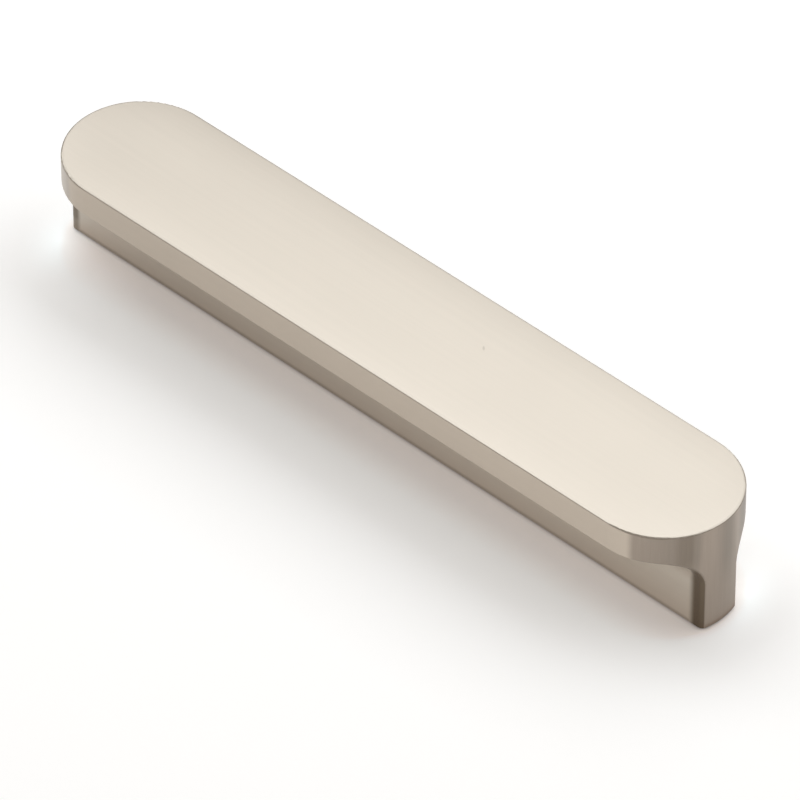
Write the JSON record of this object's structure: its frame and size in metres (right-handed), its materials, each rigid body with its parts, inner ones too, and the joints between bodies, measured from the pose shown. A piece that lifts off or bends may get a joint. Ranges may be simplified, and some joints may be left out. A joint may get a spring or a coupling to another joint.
{
  "type": "cabinet pull",
  "caption": "Oblong cabinet pull: a flat bar face with half-round ends on a thin full-length web, hollowed underneath for fingers, in brushed satin nickel.",
  "frame": {"origin": "middle of the foot of the web, on the cabinet front that the pull is screwed to", "axes": "+X along the pull, +Y across it, +Z from the cabinet front out to the face"},
  "size_m": [0.163, 0.03, 0.0245],
  "materials": {
    "satin_nickel": "satin nickel, finely brushed: along the face and web, and up and down the half-round ends"
  },
  "bodies": {
    "root": {"cabinet_pull": "satin_nickel"}
  },
  "joints": []
}
